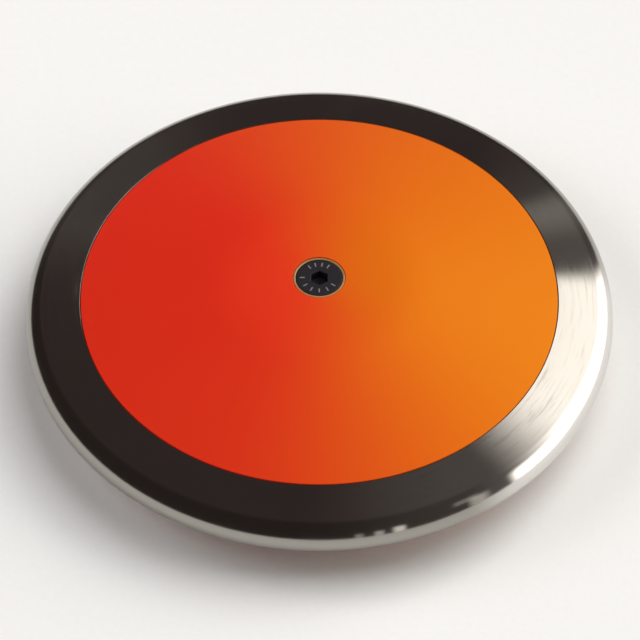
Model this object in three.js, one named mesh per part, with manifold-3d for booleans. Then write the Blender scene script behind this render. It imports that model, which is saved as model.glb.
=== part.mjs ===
// A one-kilogram discus: a turned steel rim, two moulded side plates and a countersunk screw at each centre,
// with a plywood core disc, a hexagonal hub nut and steel trim weights between the plates.
// Millimetres, +Z up. The origin is the centre of the lower flat face, on which the discus rests.
import * as THREE from "three";
import { mergeVertices } from "three/addons/utils/BufferGeometryUtils.js";
import Module from "manifold-3d";

// Outside shape, the same on both sides
const outerDiameter = 181;
const centreThickness = 38;
const flatDiameter = 57;
const edgeRadius = 6.25;
const flatBlendRadius = 12;

// Rim
const rimFaceWidth = 16.9;
const ledgeWidth = 6.4;
const ledgeWall = 1.35;
const reliefWall = 7.7;
const reliefCornerChamfer = 2.4;
const seamChamfer = 0.35;
const boreChamfer = 0.6;

// Side plates
const plateWall = 2.6;
const plateEdgeChamfer = 0.35;
const ribThickness = 1.6;
const ribCount = 12;
const midRingDiameter = 86;
const bossDepth = 7.5;

// Seal cord under each plate
const sealCordDiameter = 1.5;
const sealGrooveWidth = 1.9;

// Core disc
const coreThickness = 5;
const coreEdgeChamfer = 0.8;

// Hub nut, a length of hexagonal bar tapped right through
const hubAcrossFlats = 13;
const hubCornerChamfer = 0.9;
const hubEntryChamfer = 0.7;

// Washers and trim weights
const loadWasherDiameter = 22;
const loadWasherThickness = 1.6;
const trimWeightDiameter = 27;
const trimWeightChamfer = 0.6;
const trimShimInset = 1;
const trimShimThickness = 1.2;

// Centre screws: M8, ninety-degree countersunk head, hexagonal socket
const screwDiameter = 8;
const screwHeadDiameter = 14.3;
const screwHeadLip = 0.5;
const screwHeadEdgeChamfer = 0.15;
const screwTipChamfer = 0.9;
const screwTipToMiddle = 2.8;
const socketAcrossFlats = 5;
const socketDepth = 3;
const socketPointDepth = 0.9;

// Cup washer between each screw head and its plate, measured along the radius
const cupWall = 0.6;

// Clearances
const seamGap = 0.25; // plate edge to rim
const seatGap = 0.25; // between faces that bear on each other
const spigotPlay = 0.3; // plate spigot and core disc to rim bore
const sealPlay = 0.15; // seal cord to its groove and plate
const cupPlay = 0.18; // screw head to cup washer, and cup washer to plate
const threadPlay = 0.2; // screw shank to hub bore
const screwHolePlay = 0.7; // screw shank to plate and washers
const hubPlay = 0.3; // hub nut to core disc and trim weights
const pocketPlay = 0.4; // trim weight to the pocket in the plate
const headRecess = 0.2; // screw head and cup washer below the flat face
const cutOverrun = 2; // how far a cutting shape runs past what it cuts

// Facets
const largeFacets = 48;
const smallFacets = 36;
const washerFacets = 24;
const edgeArcSteps = 4;
const smallArcSteps = 1;

// Worked out from the sizes above. Heights are measured from the middle plane.
const outerRadius = outerDiameter / 2;
const halfThickness = centreThickness / 2;
const flatRadius = flatDiameter / 2;
const seamRadius = outerRadius - rimFaceWidth;
const boreRadius = seamRadius - ledgeWidth;
const coreHalf = coreThickness / 2;
const shankRadius = screwDiameter / 2;
const headRadius = screwHeadDiameter / 2;
const screwHoleRadius = shankRadius + screwHolePlay;

// The flank is the straight line from the flat's edge that is tangent to the rounded rim edge.
const edgeCentreRadius = outerRadius - edgeRadius;
const flankRun = edgeCentreRadius - flatRadius;
const flankAngle =
  Math.atan2(halfThickness, flankRun) - Math.asin(edgeRadius / Math.hypot(flankRun, halfThickness));
const wallDrop = plateWall / Math.cos(flankAngle);
const ledgeDrop = wallDrop + seatGap / Math.cos(flankAngle);

function outerFace(radius) {
  return halfThickness - Math.max(0, radius - flatRadius) * Math.tan(flankAngle);
}

function innerFace(radius) {
  return outerFace(radius) - wallDrop;
}

function ledgeFace(radius) {
  return outerFace(radius) - ledgeDrop;
}

// The pieces on the axis, stacked from the plate's boss down to the core disc
const bossFace = halfThickness - bossDepth;
const washerTop = bossFace - seatGap;
const washerBottom = washerTop - loadWasherThickness;
const hubEnd = washerBottom - seatGap;
const shimTop = washerBottom - seatGap;
const shimBottom = shimTop - trimShimThickness;
const weightTop = shimBottom - seatGap;
const weightBottom = coreHalf + seatGap;
const ribBottom = coreHalf + seatGap;
const screwTop = halfThickness - headRecess;
const hubCornerRadius = hubAcrossFlats / Math.sqrt(3);
const weightBoreRadius = hubCornerRadius + hubPlay;
const pocketRadius = Math.max(trimWeightDiameter, loadWasherDiameter) / 2 + pocketPlay;
const spigotRadius = boreRadius - spigotPlay;

const wasm = await Module();
wasm.setup();

// A closed three.js geometry as a manifold-3d solid
function toSolid(geometry) {
  const bare = geometry.clone();
  bare.deleteAttribute("normal");
  bare.deleteAttribute("uv");
  const merged = mergeVertices(bare);
  return new wasm.Manifold(
    new wasm.Mesh({
      numProp: 3,
      vertProperties: merged.attributes.position.array,
      triVerts: new Uint32Array(merged.index.array),
    }),
  );
}

// A manifold-3d solid as a three.js geometry
function toGeometry(solid) {
  const mesh = solid.getMesh();
  const geometry = new THREE.BufferGeometry();
  geometry.setAttribute("position", new THREE.BufferAttribute(mesh.vertProperties, 3));
  geometry.setIndex(new THREE.BufferAttribute(mesh.triVerts, 1));
  geometry.computeVertexNormals();
  return geometry;
}

// Turns a path of radius and height about the Z axis. The path runs anticlockwise: out, up, in and down.
function revolve(path, facets, arcSteps = smallArcSteps) {
  const points = path.getPoints(arcSteps);
  if (path.autoClose) points.push(points[0].clone());
  return new THREE.LatheGeometry(points, facets).rotateX(Math.PI / 2);
}

// A path through corners, closed on itself for a ring
function ringPath(corners) {
  const path = new THREE.Path();
  path.moveTo(...corners[0]);
  corners.slice(1).forEach((corner) => path.lineTo(...corner));
  path.autoClose = true;
  return path;
}

// A plain ring with its four edges chamfered alike
function ring(innerRadius, radius, bottom, top, chamfer, facets) {
  return revolve(
    ringPath([
      [innerRadius, bottom + chamfer],
      [innerRadius + chamfer, bottom],
      [radius - chamfer, bottom],
      [radius, bottom + chamfer],
      [radius, top - chamfer],
      [radius - chamfer, top],
      [innerRadius + chamfer, top],
      [innerRadius, top - chamfer],
    ]),
    facets,
  );
}

// A plain ring with square edges
function flatRing(innerRadius, radius, bottom, top, facets) {
  return revolve(
    ringPath([
      [innerRadius, bottom],
      [radius, bottom],
      [radius, top],
      [innerRadius, top],
    ]),
    facets,
  );
}

// An upright hexagonal prism. Two of its flats face along X, so that a corner points along Y.
function hexPrism(acrossFlats, bottom, top) {
  const prism = new THREE.CylinderGeometry(
    acrossFlats / Math.sqrt(3),
    acrossFlats / Math.sqrt(3),
    top - bottom,
    6,
  );
  return prism.rotateX(Math.PI / 2).translate(0, 0, (top + bottom) / 2);
}

// The rim: rounded edge and tapering flanks outside, and inside a ledge for each plate,
// with a seal groove in it, and a deep relief groove between the ledges.
function rimGeometry() {
  const sealRadius = (boreRadius + seamRadius) / 2;
  const grooveInner = sealRadius - sealGrooveWidth / 2;
  const grooveOuter = sealRadius + sealGrooveWidth / 2;
  const grooveFloor = sealGrooveFloor();
  const reliefHalf = grooveFloor - ledgeWall;
  const reliefRadius = outerRadius - reliefWall;
  const corner = Math.min(reliefCornerChamfer, reliefHalf);
  const upperWall = [
    [seamRadius + seamChamfer, outerFace(seamRadius + seamChamfer)],
    [seamRadius, outerFace(seamRadius) - seamChamfer],
    [seamRadius, ledgeFace(seamRadius)],
    [grooveOuter, ledgeFace(grooveOuter)],
    [grooveOuter, grooveFloor],
    [grooveInner, grooveFloor],
    [grooveInner, ledgeFace(grooveInner)],
    [boreRadius + boreChamfer, ledgeFace(boreRadius + boreChamfer)],
    [boreRadius, ledgeFace(boreRadius) - boreChamfer],
    [boreRadius, reliefHalf],
  ];
  const lowerWall = upperWall.map(([radius, height]) => [radius, -height]).reverse();
  const path = new THREE.Path();
  path.moveTo(edgeCentreRadius + edgeRadius * Math.sin(flankAngle), -edgeRadius * Math.cos(flankAngle));
  path.absarc(edgeCentreRadius, 0, edgeRadius, flankAngle - Math.PI / 2, Math.PI / 2 - flankAngle, false);
  upperWall.forEach((point) => path.lineTo(...point));
  path.lineTo(reliefRadius - corner, reliefHalf);
  path.lineTo(reliefRadius, reliefHalf - corner);
  path.lineTo(reliefRadius, corner - reliefHalf);
  path.lineTo(reliefRadius - corner, -reliefHalf);
  lowerWall.forEach((point) => path.lineTo(...point));
  path.autoClose = true;
  return revolve(path, largeFacets, edgeArcSteps);
}

// The seal groove is as deep as leaves the cord its play below the plate.
function sealGrooveFloor() {
  const sealRadius = (boreRadius + seamRadius) / 2;
  return innerFace(sealRadius) - sealCordDiameter - 2 * sealPlay;
}

function sealGeometry() {
  const sealRadius = (boreRadius + seamRadius) / 2;
  const cordRadius = sealCordDiameter / 2;
  const cord = new THREE.Path();
  const sides = 6;
  for (let side = 0; side < sides; side++) {
    const angle = (2 * Math.PI * side) / sides;
    const point = [
      sealRadius + cordRadius * Math.cos(angle),
      sealGrooveFloor() + sealPlay + cordRadius + cordRadius * Math.sin(angle),
    ];
    if (side === 0) cord.moveTo(...point);
    else cord.lineTo(...point);
  }
  cord.autoClose = true;
  return revolve(cord, largeFacets);
}

// The side plate: a shallow cone with a flat centre, countersunk for the cup washer. Under it are the screw
// boss, the wall of the weight pocket, a ring, the spigot that centres the plate in the rim, and radial ribs.
function sidePlateGeometry() {
  const plateRadius = seamRadius - seamGap;
  const midRadius = midRingDiameter / 2;
  const halfRib = ribThickness / 2;
  const recessRadius = headRadius + 2 * cupPlay + cupWall;
  const countersinkDepth = headRecess + screwHeadLip + recessRadius - screwHoleRadius;
  const blendRun = flatBlendRadius * Math.tan(flankAngle / 2);
  const blendEnd = flatRadius + blendRun * Math.cos(flankAngle);
  const path = new THREE.Path();
  path.moveTo(screwHoleRadius, bossFace);
  path.lineTo(loadWasherDiameter / 2, bossFace);
  path.lineTo(loadWasherDiameter / 2, innerFace(0));
  ringRib(path, pocketRadius, pocketRadius + ribThickness);
  path.lineTo(flatRadius, innerFace(flatRadius));
  ringRib(path, midRadius - halfRib, midRadius + halfRib);
  ringRib(path, spigotRadius - ribThickness, spigotRadius);
  path.lineTo(plateRadius, innerFace(plateRadius));
  path.lineTo(plateRadius, outerFace(plateRadius) - plateEdgeChamfer);
  path.lineTo(plateRadius - plateEdgeChamfer, outerFace(plateRadius - plateEdgeChamfer));
  path.lineTo(blendEnd, outerFace(blendEnd));
  path.absarc(
    flatRadius - blendRun,
    halfThickness - flatBlendRadius,
    flatBlendRadius,
    Math.PI / 2 - flankAngle,
    Math.PI / 2,
    false,
  );
  path.lineTo(recessRadius, halfThickness);
  path.lineTo(recessRadius, halfThickness - headRecess - screwHeadLip);
  path.lineTo(screwHoleRadius, halfThickness - countersinkDepth);
  path.autoClose = true;
  const shell = toSolid(revolve(path, largeFacets));
  return toGeometry(shell.add(radialRibs()));
}

// Carries the path down, along and up again round one ring-shaped rib
function ringRib(path, innerRadius, radius) {
  path.lineTo(innerRadius, innerFace(innerRadius));
  path.lineTo(innerRadius, ribBottom);
  path.lineTo(radius, ribBottom);
  path.lineTo(radius, innerFace(radius));
}

// The radial ribs are the part of the hollow under the plate that a star of thin boxes covers.
function radialRibs() {
  const halfWall = wallDrop / 2;
  const inner = pocketRadius + ribThickness / 2;
  const outer = spigotRadius - ribThickness / 2;
  const hollow = toSolid(
    revolve(
      ringPath([
        [inner, ribBottom],
        [outer, ribBottom],
        [outer, innerFace(outer) + halfWall],
        [flatRadius, innerFace(flatRadius) + halfWall],
        [inner, innerFace(inner) + halfWall],
      ]),
      largeFacets,
    ),
  );
  let star = null;
  for (let rib = 0; rib < ribCount; rib++) {
    const box = new THREE.BoxGeometry(outerRadius, ribThickness, centreThickness);
    box.translate(outerRadius / 2, 0, 0).rotateZ((2 * Math.PI * rib) / ribCount);
    star = star ? star.add(toSolid(box)) : toSolid(box);
  }
  return hollow.intersect(star);
}

function cupWasherGeometry() {
  const inner = headRadius + cupPlay;
  const outer = inner + cupWall;
  const lipBottom = screwTop - screwHeadLip;
  const coneBottom = lipBottom - (inner - screwHoleRadius);
  return revolve(
    ringPath([
      [screwHoleRadius, coneBottom],
      [screwHoleRadius + cupWall, coneBottom],
      [outer, lipBottom],
      [outer, screwTop],
      [inner, screwTop],
      [inner, lipBottom],
    ]),
    smallFacets,
  );
}

function screwGeometry() {
  const coneBottom = screwTop - screwHeadLip - (headRadius - shankRadius);
  const path = new THREE.Path();
  path.moveTo(0, screwTipToMiddle);
  path.lineTo(shankRadius - screwTipChamfer, screwTipToMiddle);
  path.lineTo(shankRadius, screwTipToMiddle + screwTipChamfer);
  path.lineTo(shankRadius, coneBottom);
  path.lineTo(headRadius, screwTop - screwHeadLip);
  path.lineTo(headRadius, screwTop - screwHeadEdgeChamfer);
  path.lineTo(headRadius - screwHeadEdgeChamfer, screwTop);
  path.lineTo(0, screwTop);
  const blank = toSolid(revolve(path, smallFacets));
  return toGeometry(blank.subtract(socketCutter()));
}

// The hexagonal socket, with the point that the drill leaves at its bottom
function socketCutter() {
  const floor = screwTop - socketDepth;
  const pointPath = new THREE.Path();
  pointPath.moveTo(0, floor - socketPointDepth);
  pointPath.lineTo(socketAcrossFlats / 2, floor);
  pointPath.lineTo(socketAcrossFlats / 2, floor + socketPointDepth);
  pointPath.lineTo(0, floor + socketPointDepth);
  const point = toSolid(revolve(pointPath, washerFacets));
  return toSolid(hexPrism(socketAcrossFlats, floor, screwTop + cutOverrun)).add(point);
}

function hubNutGeometry() {
  const threadRadius = shankRadius + threadPlay;
  const turned = revolve(
    ringPath([
      [threadRadius, hubEntryChamfer - hubEnd],
      [threadRadius + hubEntryChamfer, -hubEnd],
      [hubCornerRadius - hubCornerChamfer, -hubEnd],
      [hubCornerRadius, hubCornerChamfer / 2 - hubEnd],
      [hubCornerRadius, hubEnd - hubCornerChamfer / 2],
      [hubCornerRadius - hubCornerChamfer, hubEnd],
      [threadRadius + hubEntryChamfer, hubEnd],
      [threadRadius, hubEnd - hubEntryChamfer],
    ]),
    smallFacets,
  );
  const bar = hexPrism(hubAcrossFlats, -hubEnd - cutOverrun, hubEnd + cutOverrun);
  return toGeometry(toSolid(turned).intersect(toSolid(bar)));
}

// The core disc, turned to pass the rim's bore, with a hexagonal hole that keeps the hub nut from turning
function coreDiscGeometry() {
  const radius = boreRadius - spigotPlay;
  const path = new THREE.Path();
  path.moveTo(0, -coreHalf);
  path.lineTo(radius - coreEdgeChamfer, -coreHalf);
  path.lineTo(radius, coreEdgeChamfer - coreHalf);
  path.lineTo(radius, coreHalf - coreEdgeChamfer);
  path.lineTo(radius - coreEdgeChamfer, coreHalf);
  path.lineTo(0, coreHalf);
  const hole = hexPrism(hubAcrossFlats + 2 * hubPlay, -coreHalf - cutOverrun, coreHalf + cutOverrun);
  return toGeometry(toSolid(revolve(path, largeFacets)).subtract(toSolid(hole)));
}

// Materials
function finish(color, roughness, metalness) {
  return new THREE.MeshStandardMaterial({ color, roughness, metalness });
}

const turnedSteel = finish(0x8f8a84, 0.3, 1);
const orangePlastic = finish(0xe0501c, 0.4, 0);
const blackSteel = finish(0x2c2c30, 0.45, 0.8);
const platedSteel = finish(0xb9a98c, 0.35, 1);
const brightSteel = finish(0xa8a8a6, 0.4, 1);
const plywood = finish(0xc69c6d, 0.75, 0);
const sealRubber = finish(0x1c1c1c, 0.85, 0);

function named(name, geometry, material) {
  const mesh = new THREE.Mesh(geometry, material);
  mesh.name = name;
  return mesh;
}

// The pieces of one side, from the outside in
function sideGroup(side) {
  const group = new THREE.Group();
  group.add(
    named(side + "_centre_screw", screwGeometry(), blackSteel),
    named(side + "_cup_washer", cupWasherGeometry(), platedSteel),
    named(side + "_side_plate", sidePlateGeometry(), orangePlastic),
    named(side + "_seal_ring", sealGeometry(), sealRubber),
    named(
      side + "_load_washer",
      flatRing(screwHoleRadius, loadWasherDiameter / 2, washerBottom, washerTop, washerFacets),
      brightSteel,
    ),
    named(
      side + "_trim_shim",
      flatRing(
        weightBoreRadius,
        trimWeightDiameter / 2 - trimShimInset,
        shimBottom,
        shimTop,
        washerFacets,
      ),
      brightSteel,
    ),
    named(
      side + "_trim_weight",
      ring(
        weightBoreRadius,
        trimWeightDiameter / 2,
        weightBottom,
        weightTop,
        trimWeightChamfer,
        washerFacets,
      ),
      brightSteel,
    ),
  );
  return group;
}

const upperSide = sideGroup("upper");
const lowerSide = sideGroup("lower");
lowerSide.rotation.x = Math.PI;

const discus = new THREE.Group();
discus.add(
  upperSide,
  lowerSide,
  named("rim", rimGeometry(), turnedSteel),
  named("core_disc", coreDiscGeometry(), plywood),
  named("hub_nut", hubNutGeometry(), brightSteel),
);
discus.position.z = halfThickness;

export default discus;
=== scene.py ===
# %% [markdown]
# A discus, dressed in Blender. The real object is a turned steel rim with a moulded plastic plate let
# into each side, clamped by one countersunk screw per side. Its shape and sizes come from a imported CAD
# model, the frame, which this script never moves. We only build finer surfaces in the same places, and
# give them finishes. Everything is in metres, with the origin at the centre of the lower flat face and Z
# up along the axis.

# %% Load the frame
import math

import bmesh
import bpy
from mathutils import Matrix, Vector


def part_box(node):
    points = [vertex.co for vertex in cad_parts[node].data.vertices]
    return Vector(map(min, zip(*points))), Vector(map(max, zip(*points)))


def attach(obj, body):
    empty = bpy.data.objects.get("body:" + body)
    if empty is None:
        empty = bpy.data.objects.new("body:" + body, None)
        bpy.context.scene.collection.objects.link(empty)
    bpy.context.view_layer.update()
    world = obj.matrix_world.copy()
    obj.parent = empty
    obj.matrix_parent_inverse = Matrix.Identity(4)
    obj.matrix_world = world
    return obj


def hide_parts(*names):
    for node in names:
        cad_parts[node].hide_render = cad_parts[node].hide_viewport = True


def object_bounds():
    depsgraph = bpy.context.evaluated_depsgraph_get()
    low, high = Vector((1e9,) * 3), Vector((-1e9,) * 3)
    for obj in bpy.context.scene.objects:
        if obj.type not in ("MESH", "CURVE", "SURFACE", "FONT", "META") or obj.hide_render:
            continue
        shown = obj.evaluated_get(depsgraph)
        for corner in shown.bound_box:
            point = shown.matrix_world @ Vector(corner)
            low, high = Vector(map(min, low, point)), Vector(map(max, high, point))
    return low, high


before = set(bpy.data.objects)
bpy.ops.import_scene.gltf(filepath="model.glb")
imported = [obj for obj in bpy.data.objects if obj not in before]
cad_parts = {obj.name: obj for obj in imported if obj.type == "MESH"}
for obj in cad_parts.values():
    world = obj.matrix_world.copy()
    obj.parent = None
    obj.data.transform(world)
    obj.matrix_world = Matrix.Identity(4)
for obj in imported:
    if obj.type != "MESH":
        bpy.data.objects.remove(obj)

cad_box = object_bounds()
scene = bpy.context.scene

# %% [markdown]
# First we read the sizes that the frame knows. A node's box gives its lowest and highest corner, and for
# a body of revolution the highest X is its outer radius. What a box can't tell, such as the width of the
# flat centre or the radius of the rounded edge, is written here as a real size in millimetres.

# %% Sizes of the discus
mm = 0.001
middle = (cad_box[0].z + cad_box[1].z) / 2
half_thickness = cad_box[1].z - middle
seam_gap = 0.25 * mm
ledge_width = 6.4 * mm

outer_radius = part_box("rim")[1].x
plate_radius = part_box("upper_side_plate")[1].x
seam_radius = plate_radius + seam_gap
bore_radius = seam_radius - ledge_width
flat_radius = 28.5 * mm
edge_radius = 6.25 * mm
flank_run = outer_radius - edge_radius - flat_radius
flank_angle = math.atan2(half_thickness, flank_run) - math.asin(
    edge_radius / math.hypot(flank_run, half_thickness)
)
print(f"outer radius {outer_radius / mm:.2f} mm, flank {math.degrees(flank_angle):.2f} degrees")

# %% [markdown]
# Both sides of the rim and both faces of the plates follow the same cone: level up to the edge of the
# flat centre, then falling in a straight line that is tangent to the rounded edge. These small functions
# give the height of each face above the middle plane, so that every profile below uses one definition.

# %% The faces of the cone
plate_wall = 2.6 * mm
seat_gap = 0.25 * mm


def outer_face(radius):
    return half_thickness - max(0, radius - flat_radius) * math.tan(flank_angle)


def inner_face(radius):
    return outer_face(radius) - plate_wall / math.cos(flank_angle)


def ledge_face(radius):
    return outer_face(radius) - (plate_wall + seat_gap) / math.cos(flank_angle)


print(f"at the seam the face is {outer_face(seam_radius) / mm:.2f} mm above the middle plane")

# %% [markdown]
# Most of these pieces are turned on a lathe, so each is a profile spun round the axis. We describe a
# profile by its corners, and give each corner the radius of its rounding, as a drawing does. The helper
# replaces a corner by points on the arc that touches both its neighbours. Small radii on real edges
# matter more than anything else for a machined look, because they catch the light.

# %% Round the corners of a profile
arc_step = math.radians(9)


def rounded(corners):
    """Points round a closed profile. Each corner is its radius, height and rounding, all in metres."""
    points = []
    for index, (radius, height, rounding) in enumerate(corners):
        here = Vector((radius, height))
        if rounding == 0:
            points.append(here)
            continue
        before = (Vector(corners[index - 1][:2]) - here).normalized()
        after = (Vector(corners[(index + 1) % len(corners)][:2]) - here).normalized()
        half = before.angle(after) / 2
        centre = here + (before + after).normalized() * rounding / math.sin(half)
        start = here + before * rounding / math.tan(half) - centre
        end = here + after * rounding / math.tan(half) - centre
        turn = start.angle_signed(end)
        steps = 2 * math.ceil(abs(turn) / arc_step / 2)
        for count in range(steps + 1):
            points.append(centre + Matrix.Rotation(-turn * count / steps, 2) @ start)
    return points


# %% [markdown]
# Nodes, for geometry as for materials, are made by one helper and worked with by one small class. The
# class wraps a socket, and its operators add Math nodes, so that a formula in the tree reads as a
# formula in Python. The reflected forms let a plain number stand on the left, as in 1 - mask.


# %% One helper for nodes and one class for sockets
def add_node(tree, kind, settings=None, inputs=None):
    """Adds a node: first its settings, then each input, by name or number, gets its value or its link."""
    node = tree.nodes.new(kind)
    for name, setting in (settings or {}).items():
        setattr(node, name, setting)
    for key, given in (inputs or {}).items():
        source = given.socket if isinstance(given, Value) else given
        if isinstance(source, bpy.types.NodeSocket):
            tree.links.new(source, node.inputs[key])
        else:
            node.inputs[key].default_value = source
    return node


class Value:
    """A socket in a tree that Python's operators can work with."""

    def __init__(self, tree, socket):
        self.tree = tree
        self.socket = socket

    def node(self, kind, settings=None, inputs=None, output=0):
        made = add_node(self.tree, kind, settings, inputs)
        return Value(self.tree, made.outputs[output])

    def math(self, operation, *others):
        terms = dict(enumerate((self, *others)))
        return self.node("ShaderNodeMath", {"operation": operation}, terms)

    def __add__(self, other):
        return self.math("ADD", other)

    def __radd__(self, other):
        return self.math("ADD", other)

    def __sub__(self, other):
        return self.math("SUBTRACT", other)

    def __rsub__(self, other):
        return self.math("MULTIPLY_ADD", -1, other)

    def __mul__(self, other):
        return self.math("MULTIPLY", other)

    def __rmul__(self, other):
        return self.math("MULTIPLY", other)

    def __truediv__(self, other):
        return self.math("DIVIDE", other)

    def root(self):
        return self.math("SQRT")

    def step(self, low, high):
        """0 below low, 1 above high, and a smooth rise between them. With low above high it falls."""
        return self.node(
            "ShaderNodeMapRange",
            {"interpolation_type": "SMOOTHSTEP"},
            {"Value": self, "From Min": low, "From Max": high},
        )

    def split(self):
        parts = add_node(self.tree, "ShaderNodeSeparateXYZ", inputs={0: self}).outputs
        return [Value(self.tree, part) for part in parts]

    def vector(self, x, y, z):
        return self.node("ShaderNodeCombineXYZ", inputs={0: x, 1: y, 2: z})

    def noise(self, scale=1, detail=2, roughness=0.5):
        """A noise over this vector, from about 0 to 1."""
        return self.node(
            "ShaderNodeTexNoise",
            inputs={"Vector": self, "Scale": scale, "Detail": detail, "Roughness": roughness},
        )

    def mix(self, low, high):
        """The colour low where this value is 0, and high where it is 1."""
        return self.node(
            "ShaderNodeMix",
            {"data_type": "RGBA"},
            {"Factor": self, 6: low, 7: high},
            output=2,
        )


# %% [markdown]
# Geometry Nodes make what is spun or repeated here. Three small functions serve every tree. The first
# gives a tree its named inputs. The second ends it as all of ours end: real geometry, then a material.
# The third sets a modifier's inputs by their identifiers, runs the tree, and keeps the result as the
# piece's plain mesh.


# %% Start, finish and run a Geometry Nodes tree
def start_tree(name, inputs):
    """A new tree, and the sockets of its named inputs. The first is the piece's own geometry."""
    tree = bpy.data.node_groups.new(name, "GeometryNodeTree")
    tree.interface.new_socket("Geometry", in_out="OUTPUT", socket_type="NodeSocketGeometry")
    for label, kind in {"Geometry": "Geometry", **inputs, "Material": "Material"}.items():
        tree.interface.new_socket(label, in_out="INPUT", socket_type="NodeSocket" + kind)
    given = tree.nodes.new("NodeGroupInput").outputs
    return tree, {socket.name: Value(tree, socket) for socket in given if socket.name}


def finish_tree(given, geometry):
    """Makes the geometry real, gives it the material and sends it out of the tree."""
    real = geometry.node("GeometryNodeRealizeInstances", inputs={0: geometry})
    painted = real.node("GeometryNodeSetMaterial", inputs={0: real, "Material": given["Material"]})
    add_node(painted.tree, "NodeGroupOutput", inputs={0: painted})


def run_tree(piece, tree, values):
    """Runs a tree on a piece with these inputs, and keeps the result as the piece's plain mesh."""
    modifier = piece.modifiers.new(tree.name, "NODES")
    modifier.node_group = tree
    for item in tree.interface.items_tree:
        if item.in_out == "INPUT" and item.name in values:
            modifier[item.identifier] = values[item.name]
    graph = bpy.context.evaluated_depsgraph_get()
    mesh = bpy.data.meshes.new_from_object(piece.evaluated_get(graph))
    piece.modifiers.remove(modifier)
    profile = piece.data
    piece.data = mesh
    bpy.data.meshes.remove(profile)
    mesh.name = piece.name


# %% [markdown]
# A lathe spins its work, and this tree does the same for every turned piece. It takes the profile as
# loose edges, turns it into a curve, and sweeps it along a circle with Curve to Mesh. The profile is
# drawn relative to that circle, whose radius is an input. A tree suits this better than the Spin
# operator, because its sizes stay named inputs.


# %% The tree that spins a profile
def make_turning_tree():
    tree, given = start_tree("Turned piece", {"Radius": "Float", "Steps": "Int"})
    shape = given["Geometry"]
    profile = shape.node("GeometryNodeMeshToCurve", inputs={0: shape})
    circle = shape.node(
        "GeometryNodeCurvePrimitiveCircle",
        inputs={"Resolution": given["Steps"], "Radius": given["Radius"]},
    )
    finish_tree(given, shape.node("GeometryNodeCurveToMesh", inputs={0: circle, 1: profile}))
    return tree


turning_tree = make_turning_tree()
print("made the tree", turning_tree.name)

# %% [markdown]
# A finished mesh is checked before it is used. Its faces must point outwards, which the sign of its volume
# tells, and it must have no open edge, so its open edges are counted. Smooth shading is limited by angle, so
# that a machined corner stays crisp while the faces beside it look round.

# %% Make objects, close them and shade them
crease_angle = math.radians(32)
large_steps = 360
small_steps = 96


def new_piece(name, points, edges=(), faces=()):
    mesh = bpy.data.meshes.new(name)
    mesh.from_pydata(points, edges, faces)
    piece = bpy.data.objects.new(name, mesh)
    scene.collection.objects.link(piece)
    return piece


def close_and_shade(piece):
    """Points the faces outwards, shades them and prints what the piece measures."""
    solid = bmesh.new()
    solid.from_mesh(piece.data)
    bmesh.ops.recalc_face_normals(solid, faces=solid.faces)
    if solid.calc_volume(signed=True) < 0:
        bmesh.ops.reverse_faces(solid, faces=solid.faces)
    open_edges = sum(not edge.is_manifold for edge in solid.edges)
    volume = solid.calc_volume()
    solid.to_mesh(piece.data)
    solid.free()
    piece.data.shade_smooth()
    piece.data.set_sharp_from_angle(angle=crease_angle)
    faces = len(piece.data.polygons)
    print(piece.name, faces, "faces,", round(volume / mm**3), "mm3,", open_edges, "open edges")


# %% [markdown]
# The profile's heights count from the middle plane, because the discus is the same above and below it.
# So a piece of the lower side is a copy of the upper one, turned half round about the X axis in that
# plane, as the maker turns the implement over on the bench. A turn, unlike a mirror, keeps the faces
# pointing outwards.


# %% Turn a piece, and turn it over
def turned(name, corners, material, steps=large_steps):
    """Spins a profile of corners, with heights from the middle plane, into a solid ring."""
    points = rounded(corners)
    path_radius = points[0].x
    profile = [(point.x - path_radius, -(point.y + middle), 0) for point in points]
    edges = [(index, (index + 1) % len(points)) for index in range(len(points))]
    piece = new_piece(name, profile, edges)
    run_tree(piece, turning_tree, {"Radius": path_radius, "Steps": steps, "Material": material})
    close_and_shade(piece)
    return piece


def turned_over(piece, name):
    """The same piece on the lower side."""
    copy = bpy.data.objects.new(name, piece.data.copy())
    copy.data.name = name
    copy.data.transform(Matrix.Translation((0, 0, 2 * middle)) @ Matrix.Rotation(math.pi, 4, "X"))
    scene.collection.objects.link(copy)
    return copy


# %% [markdown]
# Every finish is a formula of the place on the object. A paint function gets that place and returns what
# each socket of the shader takes: a number that is the same everywhere, or a value that changes. Turned
# metal has rings, and a ring is a noise stretched round the axis: the vector that the noise reads holds
# the radius, much enlarged, and the direction, hardly enlarged at all, so a feature is a thin and long
# arc.


# %% Helpers for finishes
def new_material(name, paint):
    """A material painted by a function that turns the place on the object into values for sockets."""
    material = bpy.data.materials.new(name)
    material.use_nodes = True
    tree = material.node_tree
    shader = tree.nodes["Principled BSDF"]
    place = Value(tree, add_node(tree, "ShaderNodeTexCoord").outputs["Object"])
    for socket, source in paint(place).items():
        if isinstance(source, Value):
            tree.links.new(source.socket, shader.inputs[socket])
        else:
            shader.inputs[socket].default_value = source
    print("made the finish", name)
    return material


def bump(height, depth):
    """The normal of a surface whose height, from 0 to 1, is this value times the depth in metres."""
    return height.node("ShaderNodeBump", inputs={"Strength": 1, "Distance": depth, "Height": height})


def distance_from_axis(x, y):
    """The radius of a place. It is never quite zero, so that it can divide."""
    return (x * x + y * y).root() + 1e-6


def rings_noise(x, y, per_metre, along, detail=2, roughness=0.5):
    """A noise whose features are fine across the radius and long round the axis."""
    radius = distance_from_axis(x, y)
    stretched = x.vector(radius * per_metre, x / radius * along, y / radius * along)
    return stretched.noise(detail=detail, roughness=roughness)


def towards(x, y, side):
    """How far a place lies towards a side of the object, given as a direction in X and Y."""
    return x * side[0] + y * side[1]
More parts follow.
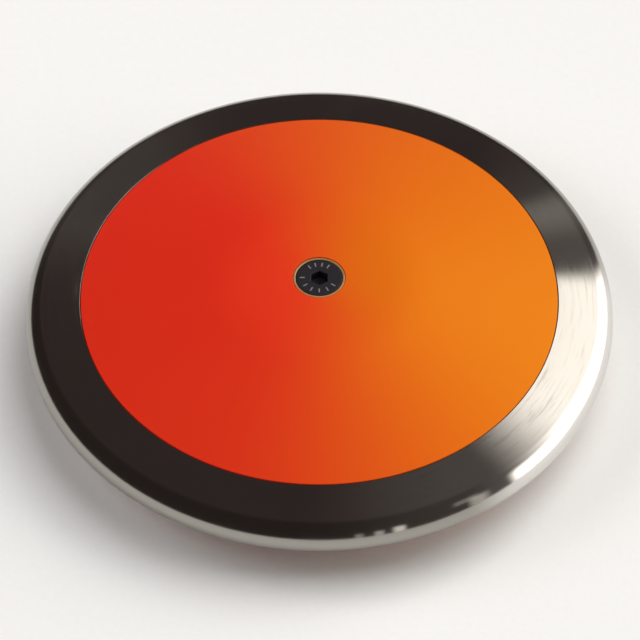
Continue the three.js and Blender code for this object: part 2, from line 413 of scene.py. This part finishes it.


# %% [markdown]
# The steel of the rim was turned and then polished in the lathe, so it is a mirror with very fine rings.
# Use has left short dull strokes along the rings, most of them on one scuffed side, and faint smudges.
# On the rounded edge the rings are nearly gone. There the metal's colour is a painted shade, darker than the
# flank so that its reflections are dimmer, with a painted highlight that makes it bright towards one side. A
# narrow dull line marks where the flank meets the edge. The reflection is anisotropic: it spreads across the
# rings, which softens the lines that run round the rim and leaves the others crisp.

# %% Finish for the turned steel rim
edge_line = (outer_radius - edge_radius) + edge_radius * math.sin(flank_angle)
line_width = 0.5 * mm
scuffed_side = (0.74, -0.67)
# Towards this side the rounded edge is painted bright: a painted highlight.
painted_highlight_side = (0.93, -0.37)
dull_flank_colour = (0.46, 0.435, 0.40, 1)
clean_flank_colour = (0.56, 0.54, 0.51, 1)
# The rounded edge's colours: a painted shade, and the brighter colour of the painted highlight.
shaded_edge_colour = (0.35, 0.335, 0.305, 1)
painted_highlight_edge_colour = (0.76, 0.74, 0.71, 1)


def paint_turned_steel(place):
    x, y, z = place.split()
    radius = distance_from_axis(x, y)
    rings = rings_noise(x, y, 2200, 2.2) * 0.2 + rings_noise(x, y, 700, 1.3) * 0.8
    smudge = place.noise(scale=38, detail=3).step(0.42, 0.72)
    on_edge = radius.step(edge_line - 0.4 * mm, edge_line + 0.9 * mm)
    on_line = radius.step(edge_line - line_width, edge_line) * radius.step(edge_line + line_width, edge_line)
    scuffed = (towards(x, y, scuffed_side) / radius).step(0.82, 0.97)
    # A painted highlight: the rounded edge is painted bright towards one side.
    painted_highlight_mask = (towards(x, y, painted_highlight_side) / radius).step(0.78, 0.93)
    strokes = rings_noise(x, y, 900, 4.5, detail=4, roughness=0.7).step(0.46, 0.88 - 0.12 * scuffed)
    off_edge = 1 - on_edge * 0.85
    dull = strokes * off_edge * (0.45 + scuffed * 0.15) + on_line * 0.2
    flank_tint = (smudge * 0.3 + (1 - dull) * 0.7).mix(dull_flank_colour, clean_flank_colour)
    return {
        # The edge takes the painted shade, and the painted highlight towards one side.
        "Base Color": on_edge.mix(flank_tint, painted_highlight_mask.mix(shaded_edge_colour, painted_highlight_edge_colour)),
        "Metallic": 1,
        "Roughness": 0.10 + dull * 0.25 + smudge * 0.03,
        "Anisotropic": 1.0,
        "Anisotropic Rotation": 0.25,
        "Normal": bump(rings * off_edge, 0.012 * mm),
    }


turned_steel = new_material("turned steel", paint_turned_steel)

# %% [markdown]
# The rim is the main piece, and its whole outline follows one rule: two straight flanks and one rounded
# edge. The edge is the rounding of the corner where the flanks would meet. Inside are a ledge for each
# plate, a groove for its rubber cord, and a deep relief groove, which moves the steel's mass out to the
# edge.

# %% The rim
cord_diameter = 1.5 * mm
cord_play = 0.15 * mm
cord_groove = 1.9 * mm
ledge_wall = 1.35 * mm
relief_radius = outer_radius - 7.7 * mm
cord_radius = (bore_radius + seam_radius) / 2
groove_floor = inner_face(cord_radius) - cord_diameter - 2 * cord_play
relief_half = groove_floor - ledge_wall
relief_round = 2.4 * mm
small_round = 0.3 * mm


def rim_corners():
    apex = flat_radius + half_thickness / math.tan(flank_angle)
    groove_in = cord_radius - cord_groove / 2
    groove_out = cord_radius + cord_groove / 2
    upper = [
        (seam_radius, outer_face(seam_radius), 0.08 * mm),
        (seam_radius, ledge_face(seam_radius), 0.15 * mm),
        (groove_out, ledge_face(groove_out), 0.1 * mm),
        (groove_out, groove_floor, small_round),
        (groove_in, groove_floor, small_round),
        (groove_in, ledge_face(groove_in), 0.1 * mm),
        (bore_radius, ledge_face(bore_radius), 0.6 * mm),
        (bore_radius, relief_half, small_round),
        (relief_radius, relief_half, relief_round),
    ]
    lower = [(radius, -height, rounding) for radius, height, rounding in reversed(upper)]
    return [(apex, 0, edge_radius), *upper, *lower]


rim = turned("turned_rim", rim_corners(), turned_steel)

# %% [markdown]
# The plates are moulded in a red-orange plastic with a satin face and a very slight orange peel. The
# gloss has a warm tint, as a pearl pigment gives it, so that a broad highlight turns the red to orange.
# The base colour carries painted light as well: a shaded red on the side away from the light and a lit
# orange on the side towards it. It follows the direction round the axis, changes gently across the middle
# and is a little cloudy. The tint is a constant on the shader. Only the colour, the roughness and the bump
# vary.

# %% Finish for the moulded plates
# The base colour is painted light: a shaded red away from this side and a lit orange towards it.
painted_light_side = (0.98, 0.17)
painted_light_blend = 12 * mm
shaded_red_colour = (0.74, 0.020, 0.012, 1)
lit_orange_colour = (0.74, 0.165, 0.005, 1)


def paint_orange_plastic(place):
    x, y, z = place.split()
    cloud = place.noise(scale=16, detail=2)
    grain = place.noise(scale=2600, detail=2)
    peel = place.noise(scale=420, detail=1)
    # How far a place lies towards the lit side, which sets the painted light.
    side = towards(x, y, painted_light_side) / (distance_from_axis(x, y) + painted_light_blend)
    return {
        "Base Color": (side + (cloud - 0.5) * 0.15).step(-0.56, 1.1).mix(shaded_red_colour, lit_orange_colour),
        "Roughness": 0.40 + cloud * 0.08,
        "IOR": 1.6,
        "Specular IOR Level": 0.7,
        "Specular Tint": (1.0, 0.9, 0.0, 1),
        "Normal": bump(grain * 0.3 + peel * 0.7, 0.004 * mm),
    }


orange_plastic = new_material("moulded orange plastic", paint_orange_plastic)

# %% [markdown]
# The shell of a plate is spun from its section, like the rim: a flat centre, a cone, and below it the
# boss for the screw and three ring-shaped ribs. The recess at the centre takes the cup washer and the
# screw's head. The blend from the flat to the cone has a large radius, which softens the line between
# them.

# %% The section of a side plate
hole_radius = 4.7 * mm
boss_radius = 11 * mm
boss_face = half_thickness - 7.5 * mm
pocket_radius = 13.9 * mm
rib_thickness = 1.6 * mm
rib_bottom = 2.75 * mm
mid_ring_radius = 43 * mm
spigot_radius = bore_radius - 0.3 * mm
flat_blend = 60 * mm
inner_blend = 12 * mm
screw_low, screw_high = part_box("upper_centre_screw")
head_radius = screw_high.x
head_lip = 0.5 * mm
head_top = screw_high.z - middle
cup_play = 0.18 * mm
cup_wall = 0.6 * mm
recess_radius = head_radius + 2 * cup_play + cup_wall
cone_top = head_top - head_lip


def ring_rib(inner, outer):
    """The four corners of a ring-shaped rib under the plate, from the axis outwards."""
    return [
        (inner, inner_face(inner), small_round),
        (inner, rib_bottom, small_round),
        (outer, rib_bottom, small_round),
        (outer, inner_face(outer), small_round),
    ]


def plate_corners():
    return [
        (hole_radius, boss_face, small_round),
        (boss_radius, boss_face, small_round),
        (boss_radius, inner_face(0), small_round),
        *ring_rib(pocket_radius, pocket_radius + rib_thickness),
        (flat_radius, inner_face(flat_radius), inner_blend),
        *ring_rib(mid_ring_radius - rib_thickness / 2, mid_ring_radius + rib_thickness / 2),
        *ring_rib(spigot_radius - rib_thickness, spigot_radius),
        (plate_radius, inner_face(plate_radius), small_round),
        (plate_radius, outer_face(plate_radius), 0.25 * mm),
        (flat_radius, half_thickness, flat_blend),
        (recess_radius, half_thickness, 0.12 * mm),
        (recess_radius, cone_top, 0),
        (hole_radius, cone_top - (recess_radius - hole_radius), 0),
    ]


print(f"the recess is {2 * recess_radius / mm:.1f} mm across, for a head of {2 * head_radius / mm:.1f} mm")

# %% [markdown]
# Twelve radial ribs stiffen the plate, as in most mouldings of this size. One rib is drawn as a thin
# prism whose top lies inside the plate's wall, and a tree repeats it round the axis and joins it to the
# shell, so the count of ribs is an input. The joining is a function of its own, because the screws need
# it too.


# %% The tree that repeats the ribs round the axis
def join_on_points(given, points, pattern, angle):
    """Sets the pattern on each point, turned by the angle, and unites all of it with the piece."""
    piece = given["Geometry"]
    copies = piece.node(
        "GeometryNodeInstanceOnPoints",
        inputs={"Points": points, "Instance": pattern, "Rotation": piece.vector(0, 0, angle)},
    )
    real = piece.node("GeometryNodeRealizeInstances", inputs={0: copies})
    union = add_node(piece.tree, "GeometryNodeMeshBoolean", {"operation": "UNION", "solver": "EXACT"})
    for part in (piece, real):
        piece.tree.links.new(part.socket, union.inputs["Mesh 2"])
    finish_tree(given, Value(piece.tree, union.outputs["Mesh"]))


def make_rib_tree():
    tree, given = start_tree("Ribs round the axis", {"Rib": "Object", "Ribs": "Int"})
    shell = given["Geometry"]
    rib = shell.node("GeometryNodeObjectInfo", inputs={"Object": given["Rib"]}, output="Geometry")
    index = shell.node("GeometryNodeInputIndex")
    places = shell.node("GeometryNodePoints", inputs={"Count": given["Ribs"]})
    join_on_points(given, places, rib, index * (2 * math.pi) / given["Ribs"])
    return tree


rib_tree = make_rib_tree()
print("made the tree", rib_tree.name)

# %% [markdown]
# The prism has five corners on each side, because its top follows the plate's inner face: level under
# the flat centre, then sloping. The shell is spun first, the tree then adds the ribs, and the pattern is
# thrown away.


# %% The side plates
def make_rib():
    """One radial rib as a prism."""
    inner = pocket_radius + rib_thickness / 2
    outer = spigot_radius - rib_thickness / 2
    sunk = plate_wall / 2
    side = [
        (inner, rib_bottom),
        (outer, rib_bottom),
        (outer, inner_face(outer) + sunk),
        (flat_radius, inner_face(flat_radius) + sunk),
        (inner, inner_face(inner) + sunk),
    ]
    points = [
        (radius, across * rib_thickness / 2, height + middle)
        for across in (-1, 1)
        for radius, height in side
    ]
    count = len(side)
    walls = [(i, (i + 1) % count, (i + 1) % count + count, i + count) for i in range(count)]
    ends = [tuple(reversed(range(count))), tuple(range(count, 2 * count))]
    return new_piece("rib_pattern", points, faces=walls + ends)


rib_count = 12
rib = make_rib()
upper_plate = turned("upper_plate_moulding", plate_corners(), orange_plastic)
run_tree(upper_plate, rib_tree, {"Rib": rib, "Ribs": rib_count, "Material": orange_plastic})
close_and_shade(upper_plate)
bpy.data.objects.remove(rib)
lower_plate = turned_over(upper_plate, "lower_plate_moulding")

# %% [markdown]
# The cup washers are pressed from sheet and plated in yellow, so theirs is a golden metal with a few
# dull spots. The hidden washers and trim weights are plain bright steel, faced on a lathe: their rings
# are the same idea as the rim's, with a coarser feed.


# %% Finishes for the washers and weights
def paint_plated_steel(place):
    dull = place.noise(scale=900, detail=2)
    return {
        "Base Color": dull.mix((0.76, 0.44, 0.18, 1), (0.88, 0.58, 0.28, 1)),
        "Metallic": 0.7,
        "Roughness": 0.26 + dull * 0.2,
        "Normal": bump(dull, 0.004 * mm),
    }


def paint_bright_steel(place):
    x, y, z = place.split()
    rings = rings_noise(x, y, 3000, 1.5)
    haze = place.noise(scale=160, detail=2)
    return {
        "Base Color": haze.mix((0.50, 0.49, 0.47, 1), (0.64, 0.63, 0.61, 1)),
        "Metallic": 1,
        "Roughness": 0.26 + rings * 0.18,
        "Normal": bump(rings, 0.01 * mm),
    }


plated_steel = new_material("plated steel", paint_plated_steel)
bright_steel = new_material("bright steel", paint_bright_steel)

# %% [markdown]
# The cup washer shows only as a thin golden ring round the screw's head. It is spun like the rest: a
# cone that lies in the plate's recess and carries the head, and a short upright wall round the head's
# lip. Its edges are softened by a tenth of a millimetre or so, as on any pressed part.

# %% The cup washer
cup_round = 0.12 * mm


def cup_corners():
    inner = head_radius + cup_play
    outer = inner + cup_wall
    foot = cone_top - (inner - hole_radius)
    return [
        (hole_radius, foot, cup_round),
        (hole_radius + cup_wall, foot, cup_round),
        (outer, cone_top, cup_round),
        (outer, head_top, cup_round),
        (inner, head_top, cup_round),
        (inner, cone_top, 0),
    ]


upper_cup = turned("upper_washer_ring", cup_corners(), plated_steel, steps=small_steps * 2)
lower_cup = turned_over(upper_cup, "lower_washer_ring")

# %% [markdown]
# The inner rings repeat one plain section, a rectangle with small edges, so a table and a loop make them
# all. A node's box tells a ring's outer radius, bottom and top, and only the bore and the rounding are
# ours to state.

# %% Washers, shims and trim weights
weight_bore = 7.8 * mm
rings_inside = {
    "load_washer": (hole_radius, 0.2 * mm),
    "trim_shim": (weight_bore, 0.15 * mm),
    "trim_weight": (weight_bore, 0.6 * mm),
}
inner_rings = {}
for kind, (bore, rounding) in rings_inside.items():
    low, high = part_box("upper_" + kind)
    bottom, top = low.z - middle, high.z - middle
    places = ((bore, bottom), (high.x, bottom), (high.x, top), (bore, top))
    corners = [(radius, height, rounding) for radius, height in places]
    upper = turned("upper_" + kind + "_turned", corners, bright_steel, steps=small_steps)
    inner_rings["upper_" + kind] = upper
    inner_rings["lower_" + kind] = turned_over(upper, "lower_" + kind + "_turned")

# %% [markdown]
# The seal under each plate is a rubber cord, so its section is a circle: a square whose corners are
# rounded by half its side, or a hair less, so that two arcs never share a point. Rubber is dark, dull
# and slightly dusty.

# %% The seal cords
nearly_half = 0.499
square = ((-1, -1), (1, -1), (1, 1), (-1, 1))


def paint_rubber(place):
    dust = place.noise(scale=700, detail=4)
    return {
        "Base Color": dust.mix((0.010, 0.010, 0.010, 1), (0.030, 0.029, 0.027, 1)),
        "Roughness": 0.62 + dust * 0.25,
        "Normal": bump(dust, 0.02 * mm),
    }


seal_rubber = new_material("seal rubber", paint_rubber)
cord_centre = groove_floor + cord_play + cord_diameter / 2
cord_corners = [
    (cord_radius + x * cord_diameter / 2, cord_centre + z * cord_diameter / 2, cord_diameter * nearly_half)
    for x, z in square
]
upper_seal = turned("upper_seal_cord", cord_corners, seal_rubber)
lower_seal = turned_over(upper_seal, "lower_seal_cord")

# %% [markdown]
# A screw, a hexagonal nut and a board with a hexagonal hole aren't bodies of revolution, but each is a
# stack of rings whose radius depends on the angle. For a hexagon it is the distance to a flat, divided
# by the cosine of the angle from that flat's middle. For a thread it follows a zigzag that climbs one
# pitch a turn. One helper joins such rings, closes the poles, and serves all three.

# %% Join rings whose radius follows the angle
hexagon_sides = 6
corner_angle = 2 * math.pi / hexagon_sides


def hexagon(across_flats):
    """The radius of a hexagon at an angle, with a flat facing along X."""

    def radius(angle):
        from_flat = (angle + corner_angle / 2) % corner_angle - corner_angle / 2
        return across_flats / 2 / math.cos(from_flat)

    return radius


def stack_rings(name, rings, material, closed=False, steps=small_steps):
    """A surface through rings of height and radius. A radius is a number or a function of the angle."""
    points = []
    rows = []
    for height, radius in rings:
        if radius == 0:
            rows.append([len(points)] * steps)
            points.append((0, 0, height + middle))
            continue
        rows.append(list(range(len(points), len(points) + steps)))
        for count in range(steps):
            angle = 2 * math.pi * count / steps
            reach = radius(angle) if callable(radius) else radius
            points.append((reach * math.cos(angle), reach * math.sin(angle), height + middle))
    rows_above = rows[1:] + rows[:1] if closed else rows[1:]
    faces = []
    for row, above in zip(rows, rows_above):
        for count in range(steps):
            beside = (count + 1) % steps
            loop = [row[count], row[beside], above[beside], above[count]]
            faces.append(tuple(dict.fromkeys(loop)))
    piece = new_piece(name, points, faces=faces)
    piece.data.materials.append(material)
    close_and_shade(piece)
    return piece


# %% [markdown]
# The screws are black: steel with a thin oxide. The oxide is nearly neutral, a little blue, and slightly
# uneven, and it wears to bright metal where a raised mark is rubbed. Wear here follows the height on the
# object, because only the marks rise above the face of the head.

# %% Finish for the black screws
mark_rise = 0.1 * mm


def paint_black_steel(place):
    x, y, z = place.split()
    uneven = place.noise(scale=1500, detail=3)
    from_middle = (z - middle).math("ABSOLUTE")
    worn = from_middle.step(head_top + mark_rise * 0.2, head_top + mark_rise * 0.6)
    oxide = uneven.mix((0.034, 0.031, 0.038, 1), (0.070, 0.063, 0.074, 1))
    return {
        "Base Color": worn.mix(oxide, (0.42, 0.43, 0.45, 1)),
        "Metallic": 0.75,
        "Roughness": 0.42 + uneven * 0.18,
        "Normal": bump(uneven, 0.006 * mm),
    }


black_steel = new_material("black oxide steel", paint_black_steel)

# %% [markdown]
# The screw is stacked from the tip to the head: a chamfered point, the thread, a plain shank, the
# countersunk cone, a lip with a softened edge, the flat top, and then the hexagonal socket with its own
# small chamfer and the drill point at the bottom. A zigzag a little steeper than the pitch, cut off at
# the root, gives the thread flat roots and sharp crests.

# %% The thread and the socket of a centre screw
shank_radius = 4 * mm
tip_height = 0.7 * mm
tip_inset = 1.25 * mm
plain_shank = 1.6 * mm
neck_height = 0.9 * mm
thread_pitch = 1.25 * mm
thread_depth = 0.65 * mm
thread_steepness = 1.25
thread_rings_per_turn = 10
head_round = 0.18 * mm
head_corner_inset = 0.05 * mm
head_land = 0.5 * mm
socket_across = 5 * mm
socket_depth = 3 * mm
socket_point = 0.9 * mm
socket_chamfer = 0.18 * mm
drill_inset = 0.2 * mm


def thread(height, crest):
    """The radius of a thread at a height: crests and roots climb one pitch a turn."""

    def radius(angle):
        phase = (height / thread_pitch - angle / (2 * math.pi)) % 1
        return crest - thread_depth * min(1, abs(2 * phase - 1) * thread_steepness)

    return radius


def screw_rings():
    tip = screw_low.z - middle
    head_bottom = cone_top - (head_radius - shank_radius)
    thread_start = tip + tip_height
    turns = (head_bottom - plain_shank - thread_start) / thread_pitch
    rings = [(tip, 0), (tip, shank_radius - tip_inset)]
    for index in range(round(turns * thread_rings_per_turn) + 1):
        height = thread_start + index * thread_pitch / thread_rings_per_turn
        rings.append((height, thread(height, shank_radius)))
    rings += [
        (head_bottom - neck_height, shank_radius),
        (head_bottom, shank_radius),
        (cone_top, head_radius),
        (head_top - head_round, head_radius),
        (head_top - head_corner_inset, head_radius - head_corner_inset),
        (head_top, head_radius - head_round),
        (head_top, head_radius - head_land),
        (head_top, hexagon(socket_across + 2 * socket_chamfer)),
        (head_top - socket_chamfer, hexagon(socket_across)),
        (head_top - socket_depth, hexagon(socket_across)),
        (head_top - socket_depth, socket_across / 2 - drill_inset),
        (head_top - socket_depth - socket_point, 0),
    ]
    return rings


# %% [markdown]
# The flat face of the head carries small raised radial bars, as a stamped head does. They repeat along
# an arc, so a tree makes them: points whose angle comes from their index, a small block on each, turned
# to point at the axis, and a union with the head.


# %% The tree that sets bars on the head
def make_mark_tree():
    inputs = {
        "Bars": "Int",
        "First angle": "Float",
        "Sweep": "Float",
        "Radius": "Float",
        "Height": "Float",
        "Bar size": "Vector",
    }
    tree, given = start_tree("Bars on the head", inputs)
    head = given["Geometry"]
    index = head.node("GeometryNodeInputIndex")
    angle = given["First angle"] + given["Sweep"] * index / given["Bars"]
    reach = given["Radius"]
    place = head.vector(angle.math("COSINE") * reach, angle.math("SINE") * reach, given["Height"])
    places = head.node("GeometryNodePoints", inputs={"Count": given["Bars"], "Position": place})
    bar = head.node("GeometryNodeMeshCube", inputs={"Size": given["Bar size"]})
    join_on_points(given, places, bar, angle)
    return tree


mark_tree = make_mark_tree()
print("made the tree", mark_tree.name)

# %% [markdown]
# The bars stand in three arcs round the socket: four at the back, one on the left and five in front.
# Each row of the table gives the number of bars, the angle of the first one and the sweep of the arc, in
# degrees. The tree runs once for each row. Half of a bar's height is sunk in the head, so that the union
# has no seam.

# %% The centre screws
bar_arcs = [(4, 58, 90), (1, 180, 0), (5, 215, 138)]
bar_circle_radius = 5.2 * mm
bar_size = (1.5 * mm, 0.42 * mm, 2 * mark_rise)
upper_screw = stack_rings("upper_screw_m8", screw_rings(), black_steel)
for bars, first, sweep in bar_arcs:
    values = {
        "Bars": bars,
        "First angle": math.radians(first),
        "Sweep": math.radians(sweep),
        "Radius": bar_circle_radius,
        "Height": head_top + middle,
        "Bar size": bar_size,
        "Material": black_steel,
    }
    run_tree(upper_screw, mark_tree, values)
close_and_shade(upper_screw)
lower_screw = turned_over(upper_screw, "lower_screw_m8")

# %% [markdown]
# The hub nut is a length of hexagonal bar. Its ends are chamfered by the lathe, which cuts the corners
# off as an arc: at each height the radius is the smaller of the hexagon's and the cone's. The rings run
# up the outside and down the tapped bore, so the stack closes on itself.

# %% The hub nut
hub_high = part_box("hub_nut")[1]
hub_across = 2 * hub_high.x
hub_corner_cut = 0.9 * mm
hub_bore = 4.2 * mm
hub_entry = 0.7 * mm


def hub_rings():
    end = hub_high.z - middle
    corner = hub_across / math.sqrt(3)
    flats = hexagon(hub_across)

    def cut_corners(angle):
        return min(flats(angle), corner - hub_corner_cut / 2)

    outside = [
        (-end, corner - hub_corner_cut),
        (-end + hub_corner_cut * 0.25, cut_corners),
        (-end + hub_corner_cut * 0.5, flats),
        (end - hub_corner_cut * 0.5, flats),
        (end - hub_corner_cut * 0.25, cut_corners),
        (end, corner - hub_corner_cut),
    ]
    inside = [(end, hub_bore + hub_entry)]
    threaded = 2 * (end - hub_entry)
    count = round(threaded / thread_pitch * thread_rings_per_turn)
    for index in range(count + 1):
        height = end - hub_entry - index * threaded / count
        inside.append((height, thread(height, hub_bore + thread_depth)))
    return outside + inside + [(-end, hub_bore + hub_entry)]


hub = stack_rings("tapped_hub_bar", hub_rings(), bright_steel, closed=True)

# %% [markdown]
# The core is birch plywood. On its faces the grain is noise stretched along one direction; on its edge
# the plies show as light and dark layers that follow the height. A mask of the radius tells the edge
# from the faces.

# %% Finish for the plywood
ply_thickness = 1.0 * mm
light_wood_colour = (0.74, 0.55, 0.34, 1)
dark_wood_colour = (0.46, 0.29, 0.15, 1)
dark_ply_colour = (0.36, 0.22, 0.11, 1)


def paint_plywood(place):
    x, y, z = place.split()
    grain = place.vector(x * 90, y * 1400, z * 300).noise(detail=4)
    figure = place.vector(x * 14, y * 70, z * 60).noise(detail=2)
    wood = (grain * 0.6 + figure * 0.4).mix(dark_wood_colour, light_wood_colour)
    plies = ((z - middle) * (math.pi / ply_thickness)).math("SINE")
    on_side = distance_from_axis(x, y).step(spigot_radius - 0.9 * mm, spigot_radius - 0.6 * mm)
    return {
        "Base Color": (plies.step(-0.4, 0.4) * on_side).mix(wood, dark_ply_colour),
        "Roughness": 0.62 + grain * 0.2,
        "Normal": bump(grain, 0.03 * mm),
    }


plywood = new_material("birch plywood", paint_plywood)

# %% [markdown]
# The disc itself is a short stack of rings: up the chamfered outside, and back down the hexagonal hole
# that keeps the hub nut from turning. Its outer radius and its height come from the frame.

# %% The core disc
core_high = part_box("core_disc")[1]
core_radius = core_high.x
core_half = core_high.z - middle
core_chamfer = 0.8 * mm
hub_play = 0.3 * mm
core_hole = hexagon(hub_across + 2 * hub_play)
core_rings = [
    (-core_half, core_radius - core_chamfer),
    (-core_half + core_chamfer, core_radius),
    (core_half - core_chamfer, core_radius),
    (core_half, core_radius - core_chamfer),
    (core_half, core_hole),
    (-core_half, core_hole),
]
core = stack_rings("plywood_core", core_rings, plywood, closed=True, steps=2 * small_steps)

# %% [markdown]
# Now each finished piece is tied to the frame. It rides on the frame's one body and stands for the CAD node
# whose place it fills, which is hidden. The table also lists the slot of the record that its finish belongs
# to, which nothing here uses.

# %% Tie the pieces to the frame
made_for = {
    "rim": (rim, "turned_steel"),
    "upper_side_plate": (upper_plate, "orange_plastic"),
    "lower_side_plate": (lower_plate, "orange_plastic"),
    "upper_centre_screw": (upper_screw, "black_steel"),
    "lower_centre_screw": (lower_screw, "black_steel"),
    "upper_cup_washer": (upper_cup, "plated_steel"),
    "lower_cup_washer": (lower_cup, "plated_steel"),
    "upper_seal_ring": (upper_seal, "seal_rubber"),
    "lower_seal_ring": (lower_seal, "seal_rubber"),
    "hub_nut": (hub, "bright_steel"),
    "core_disc": (core, "plywood"),
    **{node: (ring, "bright_steel") for node, ring in inner_rings.items()},
}
for node, (piece, slot) in made_for.items():
    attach(piece, "root")
    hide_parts(node)
print(len(made_for), "pieces stand for", len(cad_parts), "nodes")

# %% [markdown]
# The stage is one pale, matt floor that reaches past every view. It lies a hair below the lower face, so
# that the two don't share a plane. It is not part of the object.


# %% The floor
def paint_floor(place):
    fleck = place.noise(scale=500, detail=2)
    return {
        "Base Color": fleck.mix((0.90, 0.90, 0.89, 1), (0.94, 0.94, 0.93, 1)),
        "Roughness": 0.85,
    }


floor_reach = 9.0
floor_drop = 0.05 * mm
floor_corners = [(x * floor_reach, y * floor_reach, -floor_drop) for x, y in square]
floor = new_piece("floor", floor_corners, faces=[(0, 1, 2, 3)])
floor.data.materials.append(new_material("pale floor", paint_floor))

# %% [markdown]
# The camera, the lamps and the world all need directions, and people give those as two angles: azimuth,
# from +X towards +Y, and elevation above the horizon. The photograph was taken from the front, which is
# -Y, and from about 50 degrees up, so the flat face is a wide ellipse.

# %% Directions
camera_azimuth = -90
camera_elevation = 49.95


def direction_to(azimuth, elevation):
    """A unit vector from two angles in degrees."""
    a, e = math.radians(azimuth), math.radians(elevation)
    return Vector((math.cos(e) * math.cos(a), math.cos(e) * math.sin(a), math.sin(e)))


to_camera = direction_to(camera_azimuth, camera_elevation)
print("towards the camera", [round(value, 3) for value in to_camera])

# %% [markdown]
# A mirror shows what stands round it. Polished steel looks like steel only if much of that is dark, so
# the room is dim, and a little lighter at the horizon than overhead. The few bright things are painted
# on the world by what the steel should show. The half-way vector between a direction and the view is the
# normal of the place that mirrors it to the camera, and for a turned rim that normal is two angles:
# round the axis, and how far it leans from it. In these angles a tall window is a sector, as on every
# turned surface.
# Each row below is one panel with soft edges. Its first four angles go round the axis: where it starts,
# where it is full, where it is full to, and where it ends. The next four are the same for the lean. Then
# come the slant of its sides, in degrees for each degree of lean, and its radiance.

# %% What stands round the discus
panels = {
    "windows": ((-52, -28, 4.3, 9.3), (6, 11, 89, 90), 0.12, 1.9),
    "low windows": ((-50, -46, -40, -26), (28, 44, 89, 90), 0, 2.6),
    "window frame": ((5, 9, 12, 52), (6, 11, 89, 90), 0.12, 0.09),
    "doorway": ((16, 26, 27, 33), (6, 11, 89, 90), 0.06, 0.155),
    "far wall": ((108, 140, 158, 176), (6, 11, 89, 90), 0, 0.035),
    "near wall": ((-95, -56, -50, -40), (6, 11, 89, 90), 0, 0.07),
    "lamp a": ((-76, -74.6, -73.6, -72.4), (47, 53, 89, 90), 0, 1.4),
    "lamp b": ((-79.6, -78.6, -77.8, -76.8), (50, 56, 89, 90), 0, 0.8),
    "lamp c": ((-83.4, -82.6, -81.8, -81), (52, 57, 89, 90), 0, 0.5),
    "lamp d": ((-60, -58, -56.5, -53.5), (38, 46, 89, 90), 0, 0.65),
    "lamp d, far end": ((-63, -61.5, -58, -56), (33, 38, 42, 48), 0, 0.35),
}
panel_colour = (1.0, 0.965, 0.90, 1)
horizon_colour = (0.07, 0.06, 0.055, 1)
ceiling_colour = (0.046, 0.034, 0.032, 1)
horizon_band = math.sin(math.radians(5))
flank_lean = 12


# %% [markdown]
# The panels are added up into one strength, and a second background shader with the panels' colour adds
# them to the dim room. A panel that slants does so about the lean of the flank, where its angles hold.


# %% The world
def make_world():
    world = bpy.data.worlds.new("studio")
    world.use_nodes = True
    tree = world.node_tree
    room = tree.nodes["Background"]
    x, y, z = Value(tree, add_node(tree, "ShaderNodeTexCoord").outputs["Generated"]).split()
    across, along, up = x + to_camera.x, y + to_camera.y, z + to_camera.z
    round_axis = along.math("ARCTAN2", across) * math.degrees(1)
    lean = (across * across + along * along).root().math("ARCTAN2", up) * math.degrees(1)
    glow = 0
    for angles, leans, slant, radiance in panels.values():
        angle = round_axis - (lean - flank_lean) * slant if slant else round_axis
        sides = angle.step(*angles[:2]) * angle.step(angles[3], angles[2])
        ends = lean.step(*leans[:2]) * lean.step(leans[3], leans[2])
        glow = sides * ends * radiance + glow
    sky = z.step(0, horizon_band).mix(horizon_colour, ceiling_colour)
    tree.links.new(sky.socket, room.inputs["Color"])
    lit = glow.node("ShaderNodeBackground", inputs={"Color": panel_colour, "Strength": glow})
    both = glow.node("ShaderNodeAddShader", inputs={0: room.outputs[0], 1: lit})
    tree.links.new(both.socket, tree.nodes["World Output"].inputs["Surface"])
    return world


scene.world = make_world()
print("painted", len(panels), "panels on the world")

# %% [markdown]
# Two large soft lamps light the colours, one high up on the right and one lower on the left. They are
# left out of reflections and of the camera's sight, as a photographer would hide them. Each is given as
# a radiance, and its power follows from its size.


# %% The lamps
def add_lamp(name, azimuth, elevation, distance, width, radiance):
    """A square lamp that faces the centre from a direction."""
    lamp = bpy.data.lights.new(name, "AREA")
    lamp.size = width
    lamp.energy = radiance * math.pi * width * width
    holder = bpy.data.objects.new(name, lamp)
    to_lamp = direction_to(azimuth, elevation)
    place = Matrix.Translation(Vector((0, 0, middle)) + to_lamp * distance)
    holder.matrix_world = place @ to_lamp.to_track_quat("Z", "Y").to_matrix().to_4x4()
    holder.visible_camera = False
    holder.visible_glossy = False
    scene.collection.objects.link(holder)
    print("the lamp", name, "has", round(lamp.energy, 1), "W")


add_lamp("key", azimuth=15, elevation=68, distance=1.8, width=1.6, radiance=2.5)
add_lamp("left_fill", azimuth=180, elevation=40, distance=1.8, width=1.2, radiance=2.8)

# %% [markdown]
# The camera looks through a long lens, so the discus shows almost without perspective. The tiny shift
# puts the centre where the photograph has it, and is worked out from the pixel of the discus centre in a
# picture of 640 by 640 pixels. Colours keep Blender's standard view, so that they render about as they
# are written.

# %% The camera
picture_width = 640
centre_pixel_x = 319.2
centre_pixel_y = 317.1
camera_distance = 2.5
focal_pixels = 8111
sensor_width = 36

camera = bpy.data.objects.new("camera", bpy.data.cameras.new("camera"))
camera.data.sensor_width = sensor_width
camera.data.lens = focal_pixels / picture_width * sensor_width
camera.data.shift_x = (picture_width / 2 - centre_pixel_x) / picture_width
camera.data.shift_y = (centre_pixel_y - picture_width / 2) / picture_width
camera.data.clip_end = 30
camera.location = Vector((0, 0, middle)) + to_camera * camera_distance
camera.rotation_euler = (math.radians(90 - camera_elevation), 0, math.radians(90 + camera_azimuth))
scene.collection.objects.link(camera)
scene.camera = camera
scene.view_settings.view_transform = "Standard"
print("lens", round(camera.data.lens), "mm, from", camera_distance, "m")
